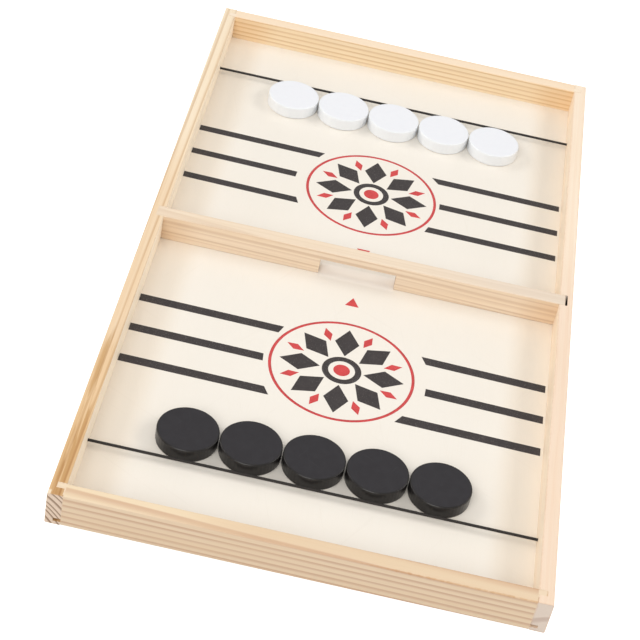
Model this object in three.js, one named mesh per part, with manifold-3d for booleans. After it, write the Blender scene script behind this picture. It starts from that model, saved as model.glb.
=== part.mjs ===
// A sling-puck tabletop hockey board: a shallow pine tray, 562 x 296 x 24 mm, with a divider across its
// middle, a gate under the divider, an elastic cord stretched across each end and ten loose pucks.
// Millimetres. X runs across the tray, Y along it towards the white pucks, Z up from the table.

import * as THREE from "three";
import * as BufferGeometryUtils from "three/addons/utils/BufferGeometryUtils.js";
import Module from "manifold-3d";

const wasm = await Module();
wasm.setup();

// Driving dimensions of the tray
const boardWidth = 296.4;
const boardLength = 562;
const railHeight = 24;
const sideRailThickness = 9.4;
const endRailThickness = 10.6;
const railEdgeRound = 0.8;

// The corner joint: a tongue on the inner half of each end rail, in a dado in the side rail
const dadoDepth = 5.5;
const tongueThickness = 4.4;
const tongueEndGap = 0.15;
const glueLine = 0.06;

// The floor: a thin sheet in a groove that runs through all four rails
const panelThickness = 2.2;
const grooveBottom = 2.5;
const grooveDepth = 4.6;
const panelEdgeGap = 0.6;

// The divider and its gate
const dividerThickness = 11;
const dividerCentreY = 0.5;
const dividerEdgeRound = 0.6;
const dividerLeftEndGap = 0.3;
const dividerRightEndGap = 1.5;
const gateWidth = 53.4;
const gateCentreX = -0.7;
const gateHeight = 12.4;

// The elastic cords and the knots that hold them
const cordDiameter = 1.8;
const cordHeightAboveFloor = 3.7;
const cordToEndRail = 54;
const cordHoleDiameter = 2.5;
const knotPocketDiameter = 6.6;
const knotPocketDepth = 4;
const knotDiameter = 5.4;
const knotLength = 3;
const knotSeatGap = 0.3;
const cordStubLength = 0.5;

// The pucks
const puckDiameter = 39;
const puckThickness = 9.4;
const puckEdgeRound = 0.9;
const puckPitch = 39.5;
const puckSeatGap = 0.1;
const pucksInRow = 5;
const blackRowCentreX = -2.9;
const blackRowToCord = 2;
const blackRowLean = 0.4;
const whiteRowCentreX = 2.3;
const whiteRowToCord = 4.6;
const whiteRowLean = -4;

// How finely round things are faceted, and how far a cutter runs past what it cuts
const puckFacets = 48;
const cordFacets = 12;
const holeFacets = 24;
const cornerFacets = 3;
const overrun = 2;
const mergeDistance = 0.0001;

// Places that several pieces share
const halfWidth = boardWidth / 2;
const halfLength = boardLength / 2;
const innerHalfWidth = halfWidth - sideRailThickness;
const innerHalfLength = halfLength - endRailThickness;
const grooveTop = grooveBottom + panelThickness + 2 * glueLine;
const floorTop = grooveBottom + glueLine + panelThickness;
const cordHeight = floorTop + cordHeightAboveFloor;
const cordY = innerHalfLength - cordToEndRail;
const dividerBottom = floorTop + glueLine;
const dividerFront = dividerCentreY - dividerThickness / 2;
const dividerBack = dividerCentreY + dividerThickness / 2;

// Materials, with the colours of the photographed board
const pine = new THREE.MeshStandardMaterial({ color: 0xe9cda3, roughness: 0.62, metalness: 0 });
const paleSheet = new THREE.MeshStandardMaterial({ color: 0xf5eddd, roughness: 0.5, metalness: 0 });
const elastic = new THREE.MeshStandardMaterial({ color: 0x2d2926, roughness: 0.85, metalness: 0 });
const blackPlastic = new THREE.MeshStandardMaterial({ color: 0x3e3b3e, roughness: 0.42, metalness: 0 });
const whitePlastic = new THREE.MeshStandardMaterial({ color: 0xf1f2f6, roughness: 0.38, metalness: 0 });

// Turn a closed three.js geometry into a solid that can be cut and joined, and back
function toSolid(geometry) {
  const bare = geometry.index ? geometry.toNonIndexed() : geometry.clone();
  for (const name of Object.keys(bare.attributes)) {
    if (name !== "position") bare.deleteAttribute(name);
  }
  const merged = BufferGeometryUtils.mergeVertices(bare, mergeDistance);
  return new wasm.Manifold(new wasm.Mesh({
    numProp: 3,
    vertProperties: new Float32Array(merged.attributes.position.array),
    triVerts: new Uint32Array(merged.index.array),
  }));
}

function toGeometry(solid) {
  const mesh = solid.getMesh();
  const geometry = new THREE.BufferGeometry();
  geometry.setAttribute("position", new THREE.BufferAttribute(mesh.vertProperties, mesh.numProp));
  geometry.setIndex(new THREE.BufferAttribute(mesh.triVerts, 1));
  return BufferGeometryUtils.toCreasedNormals(geometry, Math.PI / 6);
}

// A box given by two opposite corners, used as a saw or router cut
function block(corner, opposite) {
  const size = corner.map((value, axis) => Math.abs(opposite[axis] - value));
  const geometry = new THREE.BoxGeometry(...size);
  geometry.translate(...corner.map((value, axis) => (value + opposite[axis]) / 2));
  return toSolid(geometry);
}

// A round hole or rod along X, between x = from and x = to
function roundAlongX(diameter, from, to, y, z, facets) {
  const geometry = new THREE.CylinderGeometry(diameter / 2, diameter / 2, Math.abs(to - from), facets);
  geometry.rotateZ(Math.PI / 2);
  geometry.translate((from + to) / 2, y, z);
  return toSolid(geometry);
}

// A planed bar's cross-section with its four corners eased, its lower left corner at (0, 0)
function easedSection(width, height, radius) {
  const shape = new THREE.Shape();
  shape.moveTo(radius, 0);
  shape.lineTo(width - radius, 0);
  shape.absarc(width - radius, radius, radius, -Math.PI / 2, 0);
  shape.lineTo(width, height - radius);
  shape.absarc(width - radius, height - radius, radius, 0, Math.PI / 2);
  shape.lineTo(radius, height);
  shape.absarc(radius, height - radius, radius, Math.PI / 2, Math.PI);
  shape.lineTo(0, radius);
  shape.absarc(radius, radius, radius, Math.PI, 1.5 * Math.PI);
  return shape;
}

// A planed bar: its section is width by height, it runs for its length along X, its edges are eased,
// and it is centred on x = 0 and y = 0 with its lower face at z = 0
function planedBar(length, width, height, radius) {
  const geometry = new THREE.ExtrudeGeometry(easedSection(width, height, radius), {
    depth: length,
    bevelEnabled: false,
    curveSegments: cornerFacets,
  });
  geometry.translate(-width / 2, 0, -length / 2);
  geometry.rotateX(Math.PI / 2);
  geometry.rotateZ(Math.PI / 2);
  return geometry;
}

// A side rail, with everything that is cut in it. Side is -1 for the left one and 1 for the right one.
function sideRail(side) {
  const bar = planedBar(boardLength, sideRailThickness, railHeight, railEdgeRound);
  bar.rotateZ(Math.PI / 2);
  bar.translate(side * (innerHalfWidth + sideRailThickness / 2), 0, 0);
  let rail = toSolid(bar);

  // A dado for each end rail's tongue and one for the divider, all open at the top and bottom
  const inFrontOfFace = side * (innerHalfWidth - overrun);
  const dadoFloor = side * (innerHalfWidth + dadoDepth);
  const dadoes = [
    [innerHalfLength - glueLine, innerHalfLength + tongueThickness + glueLine],
    [-innerHalfLength - tongueThickness - glueLine, -innerHalfLength + glueLine],
    [dividerFront - glueLine, dividerBack + glueLine],
  ];
  for (const [near, far] of dadoes) {
    rail = rail.subtract(
      block([inFrontOfFace, near, -overrun], [dadoFloor, far, railHeight + overrun]),
    );
  }

  // The floor's groove, which the saw ran right through to both ends
  rail = rail.subtract(
    block(
      [inFrontOfFace, -halfLength - overrun, grooveBottom],
      [side * (innerHalfWidth + grooveDepth), halfLength + overrun, grooveTop],
    ),
  );

  // A hole for each cord, with a pocket for its knot on the outside
  const outside = side * (halfWidth + overrun);
  const pocketFloor = side * (halfWidth - knotPocketDepth);
  for (const y of [-cordY, cordY]) {
    const hole = roundAlongX(cordHoleDiameter, inFrontOfFace, outside, y, cordHeight, holeFacets);
    const pocket = roundAlongX(knotPocketDiameter, pocketFloor, outside, y, cordHeight, holeFacets);
    rail = rail.subtract(hole).subtract(pocket);
  }
  return rail;
}

// An end rail: a bar as long as its two tongues reach, with a shoulder sawn off outside each tongue and
// the floor's groove run through its inner face. End is -1 for the near one and 1 for the far one.
function endRail(end) {
  const tongueTip = innerHalfWidth + dadoDepth - tongueEndGap;
  const shoulder = innerHalfWidth - glueLine;
  const tongueBack = end * (innerHalfLength + tongueThickness);
  const behindRail = end * (halfLength + overrun);
  const bar = planedBar(2 * tongueTip, endRailThickness, railHeight, railEdgeRound);
  bar.translate(0, end * (innerHalfLength + endRailThickness / 2), 0);
  let rail = toSolid(bar);
  for (const side of [-1, 1]) {
    rail = rail.subtract(
      block(
        [side * shoulder, tongueBack, -overrun],
        [side * (tongueTip + overrun), behindRail, railHeight + overrun],
      ),
    );
  }
  return rail.subtract(
    block(
      [-tongueTip - overrun, end * (innerHalfLength - overrun), grooveBottom],
      [tongueTip + overrun, end * (innerHalfLength + grooveDepth), grooveTop],
    ),
  );
}

// The divider stands on the floor, pushed home in the left dado, with the gate sawn in its lower edge
function divider() {
  const left = -innerHalfWidth - dadoDepth + dividerLeftEndGap;
  const right = innerHalfWidth + dadoDepth - dividerRightEndGap;
  const bar = planedBar(right - left, dividerThickness, railHeight - dividerBottom, dividerEdgeRound);
  bar.translate((left + right) / 2, dividerCentreY, dividerBottom);
  return toSolid(bar).subtract(
    block(
      [gateCentreX - gateWidth / 2, dividerFront - overrun, dividerBottom - overrun],
      [gateCentreX + gateWidth / 2, dividerBack + overrun, floorTop + gateHeight],
    ),
  );
}

// The floor: a sheet let into the groove of all four rails
function floorPanel() {
  const halfSheetWidth = innerHalfWidth + grooveDepth - panelEdgeGap;
  const halfSheetLength = innerHalfLength + grooveDepth - panelEdgeGap;
  return block(
    [-halfSheetWidth, -halfSheetLength, grooveBottom + glueLine],
    [halfSheetWidth, halfSheetLength, floorTop],
  );
}

// A stretched cord, straight through the holes in both side rails to the floors of the knots' pockets
function cord(y) {
  const end = halfWidth - knotPocketDepth;
  return roundAlongX(cordDiameter, -end, end, y, cordHeight, cordFacets);
}

// A knot pulled tight: two fat turns side by side with a waist between them, and the cord's cut end.
// It is revolved about the cord's line, and waits with its cut end towards +X.
function knotGeometry() {
  const turnRadius = knotLength / 4;
  const rim = knotDiameter / 2 - turnRadius;
  const stubRadius = cordDiameter / 2;
  const profile = [[0, 0], [rim, 0]];
  for (const middle of [turnRadius, 3 * turnRadius]) {
    for (let step = 1; step <= 2 * cornerFacets; step += 1) {
      const angle = (step / (2 * cornerFacets) - 1 / 2) * Math.PI;
      profile.push([rim + turnRadius * Math.cos(angle), middle + turnRadius * Math.sin(angle)]);
    }
  }
  profile.push([stubRadius, knotLength]);
  profile.push([stubRadius, knotLength + cordStubLength]);
  profile.push([0, knotLength + cordStubLength]);
  const points = profile.map(([radius, along]) => new THREE.Vector2(radius, along));
  const geometry = new THREE.LatheGeometry(points, cordFacets);
  geometry.rotateZ(-Math.PI / 2);
  return geometry;
}

// A puck: a plain disc, turned about its own axis, with both rims rounded over
function puckGeometry() {
  const roundCentre = puckDiameter / 2 - puckEdgeRound;
  const rims = [
    [puckEdgeRound, -Math.PI / 2],
    [puckThickness - puckEdgeRound, 0],
  ];
  const profile = [[0, 0]];
  for (const [middle, startAngle] of rims) {
    for (let step = 0; step <= cornerFacets; step += 1) {
      const angle = startAngle + (step / cornerFacets) * (Math.PI / 2);
      profile.push([
        roundCentre + puckEdgeRound * Math.cos(angle),
        middle + puckEdgeRound * Math.sin(angle),
      ]);
    }
  }
  profile.push([0, puckThickness]);
  const points = profile.map(([radius, height]) => new THREE.Vector2(radius, height));
  const geometry = new THREE.LatheGeometry(points, puckFacets);
  geometry.rotateX(Math.PI / 2);
  return geometry;
}

// Build the tray
const board = new THREE.Group();

function addPiece(name, geometry, material) {
  const piece = new THREE.Mesh(geometry, material);
  piece.name = name;
  board.add(piece);
  return piece;
}

addPiece("side_rail_left", toGeometry(sideRail(-1)), pine);
addPiece("side_rail_right", toGeometry(sideRail(1)), pine);
addPiece("end_rail_near", toGeometry(endRail(-1)), pine);
addPiece("end_rail_far", toGeometry(endRail(1)), pine);
addPiece("divider", toGeometry(divider()), pine);
addPiece("floor_panel", toGeometry(floorPanel()), paleSheet);

// Stretch a cord across each end, and stop it with a knot in each pocket
const knotSeat = halfWidth - knotPocketDepth + knotSeatGap;
for (const [end, y] of [["near", -cordY], ["far", cordY]]) {
  addPiece(`cord_${end}`, toGeometry(cord(y)), elastic);
  const rightKnot = addPiece(`knot_${end}_right`, knotGeometry(), elastic);
  rightKnot.position.set(knotSeat, y, cordHeight);
  const leftKnot = addPiece(`knot_${end}_left`, knotGeometry(), elastic);
  leftKnot.position.set(-knotSeat, y, cordHeight);
  leftKnot.rotation.z = Math.PI;
}

// Set each row of pucks along its cord. A row is laid by hand, so it leans a little across the tray.
function addRow(colour, material, centreX, rowY, lean) {
  const steps = pucksInRow - 1;
  for (let index = 0; index < pucksInRow; index += 1) {
    const fromMiddle = index - steps / 2;
    const puck = addPiece(`puck_${colour}_${index + 1}`, puckGeometry(), material);
    puck.position.x = centreX + fromMiddle * puckPitch;
    puck.position.y = rowY + (fromMiddle / steps) * lean;
    puck.position.z = floorTop + puckSeatGap;
  }
}

const cordToPuckCentre = cordDiameter / 2 + puckDiameter / 2;
addRow("black", blackPlastic, blackRowCentreX, -cordY + cordToPuckCentre + blackRowToCord, blackRowLean);
addRow("white", whitePlastic, whiteRowCentreX, cordY - cordToPuckCentre - whiteRowToCord, whiteRowLean);

export default board;
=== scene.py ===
# %% [markdown]
# # A sling-puck tabletop hockey board
# The board is a shallow pine tray with a divider across its middle. Five black and five white pucks lie by
# two elastic cords, and a player slings them through the gate under the divider. The CAD model already has
# every solid at its real size, so this lesson dresses those solids: grain on the pine, print on the floor,
# braid on the cords and a moulded finish on the pucks.

from math import cos, pi, radians, sin

import bmesh
import bpy
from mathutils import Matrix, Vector


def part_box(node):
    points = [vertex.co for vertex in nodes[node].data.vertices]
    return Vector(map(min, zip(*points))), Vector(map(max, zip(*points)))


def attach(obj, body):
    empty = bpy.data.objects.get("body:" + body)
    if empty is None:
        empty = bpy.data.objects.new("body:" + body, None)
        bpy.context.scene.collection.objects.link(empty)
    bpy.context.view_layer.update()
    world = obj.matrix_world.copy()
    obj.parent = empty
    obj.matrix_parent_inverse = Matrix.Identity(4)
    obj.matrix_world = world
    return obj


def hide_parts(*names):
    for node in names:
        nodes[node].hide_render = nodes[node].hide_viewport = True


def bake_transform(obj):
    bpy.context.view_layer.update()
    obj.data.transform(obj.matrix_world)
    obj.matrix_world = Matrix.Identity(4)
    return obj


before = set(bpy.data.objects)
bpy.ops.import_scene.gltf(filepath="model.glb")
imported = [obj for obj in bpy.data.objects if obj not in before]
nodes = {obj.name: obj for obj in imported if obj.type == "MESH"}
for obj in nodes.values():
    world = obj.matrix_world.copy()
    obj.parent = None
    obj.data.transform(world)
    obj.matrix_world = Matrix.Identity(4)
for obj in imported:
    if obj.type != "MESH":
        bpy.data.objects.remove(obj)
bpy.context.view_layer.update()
scene = bpy.context.scene
MM = 0.001


def box_mm(node_name):
    low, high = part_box(node_name)
    return low / MM, high / MM


def add_object(name, data):
    thing = bpy.data.objects.new(name, data)
    scene.collection.objects.link(thing)
    return thing


def add_built(name, built):
    bmesh.ops.recalc_face_normals(built, faces=built.faces)
    data = bpy.data.meshes.new(name)
    built.to_mesh(data)
    built.free()
    return add_object(name, data)


# %% [markdown]
# ## The camera
# The place and lens were fitted to the photograph's own edges: a short telephoto, 1.25 m from the board,
# looking down at about 40 degrees with the board turned a little to the left.

# %% Set up the camera
camera_data = bpy.data.cameras.new("camera")
camera_data.sensor_width = 36
camera_data.lens = 104.19
camera = add_object("camera", camera_data)
camera.location = (-0.01138, -1.01072, 0.79843)
camera.rotation_euler = [radians(angle) for angle in (49.6693, -9.3966, 8.3228)]
scene.camera = camera
print("Camera at", [round(value, 3) for value in camera.location], "with a", camera_data.lens, "mm lens")

# %% [markdown]
# ## A shorthand for node trees
# Materials and Geometry Nodes are both trees of nodes. One helper adds a node, sets it up and wires it, so
# that each tree below reads as a list of steps. A socket as a value is linked, and a number is typed in.

# %% Define the node helpers
FLOAT, VECTOR = "NodeSocketFloat", "NodeSocketVector"


def put(tree, kind, inputs=None, **settings):
    node = tree.nodes.new(kind)
    for name, value in settings.items():
        setattr(node, name, value)
    for key, value in (inputs or {}).items():
        if isinstance(value, bpy.types.NodeSocket):
            tree.links.new(value, node.inputs[key])
        else:
            node.inputs[key].default_value = value
    return node


def new_tree(name, kind, inputs, outputs):
    tree = bpy.data.node_groups.new(name, kind)
    for socket_name, socket_type, value in inputs:
        socket = tree.interface.new_socket(name=socket_name, in_out="INPUT", socket_type=socket_type)
        if value is not None:
            socket.default_value = value
    for socket_name, socket_type in outputs:
        tree.interface.new_socket(name=socket_name, in_out="OUTPUT", socket_type=socket_type)
    return tree, put(tree, "NodeGroupInput").outputs, put(tree, "NodeGroupOutput").inputs


def use_group(tree, group, *inputs):
    return put(tree, "ShaderNodeGroup", dict(enumerate(inputs)), node_tree=group).outputs


print("Helpers ready: put, new_tree, use_group")

# %% [markdown]
# ## Sums, noises and colours
# A pattern is worked out with small sums: masks are multiplied, flipped and ramped, noises are stretched,
# and colours are mixed. Each gets a short helper, because long chains of Math nodes are hard to read.

# %% Define the pattern helpers
def calc(tree, operation, *values):
    return put(tree, "ShaderNodeMath", dict(enumerate(values)), operation=operation).outputs[0]


def times(tree, first, *others):
    for other in others:
        first = calc(tree, "MULTIPLY", first, other)
    return first


def flip(tree, mask):
    return calc(tree, "SUBTRACT", 1, mask)


def size_of(tree, value):
    return calc(tree, "ABSOLUTE", value)


def distance(tree, across, up):
    return calc(tree, "SQRT", calc(tree, "ADD", times(tree, across, across), times(tree, up, up)))


def ramp(tree, value, start, end, low=0.0, high=1.0):
    levels = {"Value": value, "From Min": start, "From Max": end, "To Min": low, "To Max": high}
    return put(tree, "ShaderNodeMapRange", levels, interpolation_type="SMOOTHSTEP").outputs[0]


def split(tree, vector):
    return put(tree, "ShaderNodeSeparateXYZ", {0: vector}).outputs


def vector_calc(tree, operation, *values):
    return put(tree, "ShaderNodeVectorMath", dict(enumerate(values)), operation=operation).outputs[0]


def noise(tree, vector, scale, detail, seed=None):
    inputs = {"Vector": vector, "Scale": scale, "Detail": detail}
    if seed is None:
        return put(tree, "ShaderNodeTexNoise", inputs).outputs[0]
    return put(tree, "ShaderNodeTexNoise", {**inputs, "W": seed}, noise_dimensions="4D").outputs[0]


def stretched_noise(tree, vector, stretch, detail, seed=None):
    return noise(tree, vector_calc(tree, "MULTIPLY", vector, stretch), 1, detail, seed)


def mix_colour(tree, factor, *colours, blend="MIX"):
    first, second = (c if isinstance(c, bpy.types.NodeSocket) else (*c, 1) for c in colours)
    settings = {"data_type": "RGBA", "blend_type": blend, "clamp_factor": True}
    return put(tree, "ShaderNodeMix", {0: factor, 6: first, 7: second}, **settings).outputs[2]


def tinted(tree, colour, tint, *masks):
    return mix_colour(tree, times(tree, *masks), colour, tint, blend="MULTIPLY")


def shade(colour, tint):
    return [c * t for c, t in zip(colour, tint)]


print("Pattern helpers ready: sums, masks, noises and colours")

# %% [markdown]
# ## Shared effect: growth rings
# Planed pine shows its year rings as straight streaks along a bar and as arcs on its sawn ends. Painting
# streaks on each face would not join at the corners, so the group works in the solid: it measures how far
# a point is from the tree's heart, a line that runs along the bar, and cuts that distance into rings. Each
# ring pales from its early wood and ends in a thin dark line of late wood. Three stretched noises beside it
# give the fibres, the streaks and the slow change of tone.

# %% Build the growth ring group
SLOW_WAVE = (0.007, 0.05, 0.05)
SEASON_PACE, MOST_UNEVEN, WEAKEST_SUMMER = 0.16, 1.6, 0.4
LATE_FULL, LATE_FADE, LATE_GONE = 0.84, 0.89, 0.985
PATTERNS = (("Fibre", 0.035, 2.4, 3), ("Streak", 0.004, 0.42, 1), ("Tone", 0.012, 0.11, 2))
rings, given, result = new_tree(
    "growth rings",
    "ShaderNodeTree",
    [
        ("Position", VECTOR, None), ("Heart Across", FLOAT, 0), ("Heart Up", FLOAT, -60),
        ("Run-out Across", FLOAT, 0), ("Run-out Up", FLOAT, 0), ("Ring Width", FLOAT, 3),
        ("Waviness", FLOAT, 1), ("Unevenness", FLOAT, 1), ("Late Start", FLOAT, 0.3), ("Seed", FLOAT, 0),
    ],
    [("Late Wood", FLOAT), ("Fibre", FLOAT), ("Streak", FLOAT), ("Tone", FLOAT)],
)
place, seed = split(rings, given["Position"]), given["Seed"]
from_heart = []
for axis, heart, run_out in (("Y", "Heart Across", "Run-out Across"), ("Z", "Heart Up", "Run-out Up")):
    offset = calc(rings, "SUBTRACT", place[axis], given[heart])
    from_heart.append(calc(rings, "ADD", offset, times(rings, place["X"], given[run_out])))
wave = calc(rings, "SUBTRACT", stretched_noise(rings, given["Position"], SLOW_WAVE, 1, seed), 0.5)
radius = calc(rings, "ADD", distance(rings, *from_heart), times(rings, wave, given["Waviness"]))
season = calc(rings, "ADD", times(rings, radius, SEASON_PACE), seed)
uneven = put(rings, "ShaderNodeTexNoise", {"W": season, "Scale": 1, "Detail": 0}, noise_dimensions="1D")
most = times(rings, given["Ring Width"], MOST_UNEVEN, given["Unevenness"])
uneven = times(rings, calc(rings, "SUBTRACT", uneven.outputs[0], 0.5), most)
year = calc(rings, "DIVIDE", calc(rings, "ADD", radius, uneven), given["Ring Width"])
phase = calc(rings, "FRACT", year)
rise = ramp(rings, phase, given["Late Start"], LATE_FULL)
late = times(rings, rise, ramp(rings, phase, LATE_FADE, LATE_GONE, 1, 0))
summer = calc(rings, "ADD", calc(rings, "FLOOR", year), seed)
vigour = put(rings, "ShaderNodeTexWhiteNoise", {"W": summer}, noise_dimensions="1D").outputs[0]
weakest = flip(rings, times(rings, given["Unevenness"], WEAKEST_SUMMER))
late = times(rings, late, ramp(rings, vigour, 0, 1, weakest, 1))
rings.links.new(late, result["Late Wood"])
for output, along, across, detail in PATTERNS:
    pattern = stretched_noise(rings, given["Position"], (along, across, across), detail, seed)
    rings.links.new(pattern, result[output])
print("Group:", rings.name, "with", len(rings.nodes), "nodes")

# %% [markdown]
# ## Shared effect: wear along edges
# Hands and sandpaper reach the edges of a bar first. On a box-shaped piece, the nearest side is the face
# that is being shaded, so the distance to the second nearest side is the distance to the closest edge. The
# group turns that into a mask and breaks it up with noise, so that the wear is not a drawn line.

# %% Build the edge wear group
PATCH_SCALE, PATCH_SWING = 0.35, 2
wear, given, result = new_tree(
    "edge wear",
    "ShaderNodeTree",
    [
        ("Position", VECTOR, None), ("Low Corner", VECTOR, (0, 0, 0)), ("High Corner", VECTOR, (0, 0, 0)),
        ("Width", FLOAT, 1), ("Roughness", FLOAT, 0.6),
    ],
    [("Mask", FLOAT)],
)
from_low = vector_calc(wear, "SUBTRACT", given["Position"], given["Low Corner"])
from_high = vector_calc(wear, "SUBTRACT", given["High Corner"], given["Position"])
side = split(wear, vector_calc(wear, "ABSOLUTE", vector_calc(wear, "MINIMUM", from_low, from_high)))
lower = calc(wear, "MINIMUM", side["X"], side["Y"])
upper = calc(wear, "MAXIMUM", side["X"], side["Y"])
to_edge = calc(wear, "MAXIMUM", lower, calc(wear, "MINIMUM", upper, side["Z"]))
patchy = calc(wear, "SUBTRACT", noise(wear, given["Position"], PATCH_SCALE, 3), 0.5)
patchy = times(wear, patchy, given["Width"], given["Roughness"], PATCH_SWING)
reach = calc(wear, "DIVIDE", calc(wear, "ADD", to_edge, patchy), given["Width"])
wear.links.new(ramp(wear, reach, 0, 1, 1, 0), result["Mask"])
print("Group:", wear.name, "with", len(wear.nodes), "nodes")

# %% [markdown]
# ## Shared effect: fine scuffs
# Plastic pucks that slide on a printed board pick up hairline scratches and a cloudy bloom. Two noises do
# this: a stretched one that is cut to thin lines, turned three ways, and a soft one for the bloom. The same
# group gives the floor its faint marks.

# %% Build the scuff group
SCRATCH_WAYS = ((0.5, (0.05, 1.4, 1.0)), (2.1, (0.06, 1.1, 1.0)), (1.3, (0.04, 1.8, 1.0)))
SCRATCH_CUT, BLOOM_CUT, BLOOM_SCALE = (0.66, 0.74), (0.35, 0.7), 0.22
scuffs, given, result = new_tree(
    "fine scuffs",
    "ShaderNodeTree",
    [("Position", VECTOR, None), ("Scale", FLOAT, 1), ("Seed", FLOAT, 0)],
    [("Scratches", FLOAT), ("Bloom", FLOAT)],
)
scaling = {0: given["Position"], "Scale": given["Scale"]}
scaled = put(scuffs, "ShaderNodeVectorMath", scaling, operation="SCALE").outputs[0]
scratched = 0
for turn, stretch in SCRATCH_WAYS:
    turning = {"Vector": scaled, "Angle": turn}
    turned = put(scuffs, "ShaderNodeVectorRotate", turning, rotation_type="Z_AXIS").outputs[0]
    line = ramp(scuffs, stretched_noise(scuffs, turned, stretch, 2, given["Seed"]), *SCRATCH_CUT)
    scratched = calc(scuffs, "MAXIMUM", scratched, line)
scuffs.links.new(scratched, result["Scratches"])
bloom = ramp(scuffs, noise(scuffs, scaled, BLOOM_SCALE, 4, given["Seed"]), *BLOOM_CUT)
scuffs.links.new(bloom, result["Bloom"])
print("Group:", scuffs.name, "with", len(scuffs.nodes), "nodes")

# %% [markdown]
# ## A start and an end for every material
# All finishes read Object coordinates. Every piece's object sits at the origin with its place in its mesh,
# so these are simply the board's own metres, and a Mapping node turns them into millimetres from the
# middle of the piece, with the first axis along the grain where there is one. At the end, each finish
# hands its colour, roughness and relief to the shader. What is the same all over is typed into the shader.

# %% Define the start and the end of a material
def new_material(name, centre=(0, 0, 0), turn=0):
    material = bpy.data.materials.new(name)
    material.use_nodes = True
    tree = material.node_tree
    coordinates = put(tree, "ShaderNodeTexCoord").outputs
    shift, to_mm = [-value for value in centre], (1 / MM,) * 3
    moves = {"Vector": coordinates["Object"], "Location": shift, "Rotation": (0, 0, turn), "Scale": to_mm}
    return material, tree, put(tree, "ShaderNodeMapping", moves).outputs[0], coordinates["Normal"]


def finish_shader(tree, colour, roughness, gloss, height=None, strength=0, depth=0):
    shader = tree.nodes["Principled BSDF"]
    tree.links.new(colour, shader.inputs["Base Color"])
    tree.links.new(roughness, shader.inputs["Roughness"])
    shader.inputs["Specular IOR Level"].default_value = gloss
    if height is not None:
        bump = put(tree, "ShaderNodeBump", {"Height": height, "Strength": strength, "Distance": depth})
        tree.links.new(bump.outputs[0], shader.inputs["Normal"])


def dress(node_name, material):
    slots = nodes[node_name].material_slots
    for slot in slots:
        slot.material = material
    if not slots:
        nodes[node_name].data.materials.append(material)


print("Material helpers ready: new_material, finish_shader, dress")

# %% [markdown]
# ## Pine, along the bar
# The five bars come from different sticks, and one recipe makes them all. Its first half is the planed
# wood: rings, streaks, clouds and fibres, then what time and hands did, and some painted shade. The upper
# faces have darkened or faded on their own, so they can be tinted along the bar, and the left rail has a
# brown stain along the middle of its near end. The sides near a bar's ends can be painted darker, as
# painted shade from the corners by the side rails, and the right rail's open dado slot is painted almost
# black, as painted shade inside it. Each of these is a mask times a tint, so a bar names only what it has.

# %% Define the planed wood
UP = (0.3, 0.8)
STREAK_CUT, TONE_CUT, FIBRE_CUT = (0.42, 0.62), (0.35, 0.75), (0.5, 0.8)
TONE_STRENGTH, CLOUD_TINT, FIBRE_TINT = 0.4, (0.97, 0.91, 0.83), (0.98, 0.94, 0.9)
STAIN_STRETCH, STAIN_CUT, STAIN_ACROSS = (0.018, 0.3, 0.3), (0.44, 0.56), (1.8, 3.8, 1, 0.3)


def planed_wood(tree, position, place, facing_up, figure, colours, extras):
    early, late, contrast = colours
    along, across, upper = place["X"], place["Y"], ramp(tree, facing_up, *UP)
    strength = ramp(tree, facing_up, *UP, *contrast)
    colour = mix_colour(tree, times(tree, figure["Late Wood"], strength), early, late)
    streaks = ramp(tree, figure["Streak"], *STREAK_CUT)
    colour = tinted(tree, colour, extras.get("streak", (1, 0.985, 0.965)), streaks)
    clouds = ramp(tree, figure["Tone"], *TONE_CUT, 0, TONE_STRENGTH)
    colour = mix_colour(tree, clouds, colour, shade(early, CLOUD_TINT))
    fibres = ramp(tree, figure["Fibre"], *FIBRE_CUT, 0, extras.get("fibre", 0.22))
    colour = mix_colour(tree, fibres, colour, shade(late, FIBRE_TINT))
    colour = tinted(tree, colour, extras.get("top", (1, 1, 1)), upper)
    # Painted shade: the side faces near a bar's ends are painted darker, standing in for the shade in the
    # corners by the side rails.
    if "shaded_ends" in extras:
        reach, tint = extras["shaded_ends"]
        corner_shade = ramp(tree, size_of(tree, along), reach, reach + 25)
        colour = tinted(tree, colour, tint, corner_shade, flip(tree, upper))
    if "bare_strip" in extras:
        start, outside = extras["bare_strip"]
        strip = times(tree, ramp(tree, along, start, start - 2), ramp(tree, across, outside, outside + 0.5))
        upper = times(tree, upper, flip(tree, strip))
    for start, end, tint in extras.get("shades", ()):
        colour = tinted(tree, colour, tint, ramp(tree, along, start, end), upper)
    if "stained" in extras:
        start, end, tint = extras["stained"]
        stain = ramp(tree, stretched_noise(tree, position, STAIN_STRETCH, 3), *STAIN_CUT)
        inward = ramp(tree, size_of(tree, across), *STAIN_ACROSS)
        colour = tinted(tree, colour, tint, stain, ramp(tree, along, start, end), upper, inward)
    if "stub" in extras:
        start, inside, tint = extras["stub"]
        inner_half = ramp(tree, across, inside, inside + 0.4, 1, 0)
        colour = tinted(tree, colour, tint, ramp(tree, along, start, start - 0.4), inner_half, upper)
    # Painted shade: the inside of the open dado slot is painted almost black, standing in for the shade in
    # the slot.
    if "dado" in extras:
        near, far, deep, tint = extras["dado"]
        slot = times(tree, ramp(tree, along, *near), ramp(tree, along, *far, 1, 0))
        colour = tinted(tree, colour, tint, slot, ramp(tree, across, *deep))
    return colour


print("Planed wood ready")

# %% [markdown]
# ## Pine, at the ends and edges
# The second half of the recipe is where the bar stops. Sawn ends drink in light, so end grain is darker and
# greyer than the planed faces, with broader rings and fine pores. The edges are worn, and one of them has
# gone brown. The relief follows the fibres and the late wood, which stands a little proud.

# %% Define the pine
SAWN, RING_POWER, RING_DEPTH = (0.6, 0.85), 0.5, 0.95
PORE_SCALE, PORE_CUT, PORE_DEPTH = 2.2, (0.5, 0.7), 0.2
WEAR_WIDTH, WEAR_ROUGHNESS, WORN_TINT = 1.1, 0.8, (1.02, 0.96, 0.9)
TIP_FADE, TIP_DEPTH = 0.3, 0.85


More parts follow.
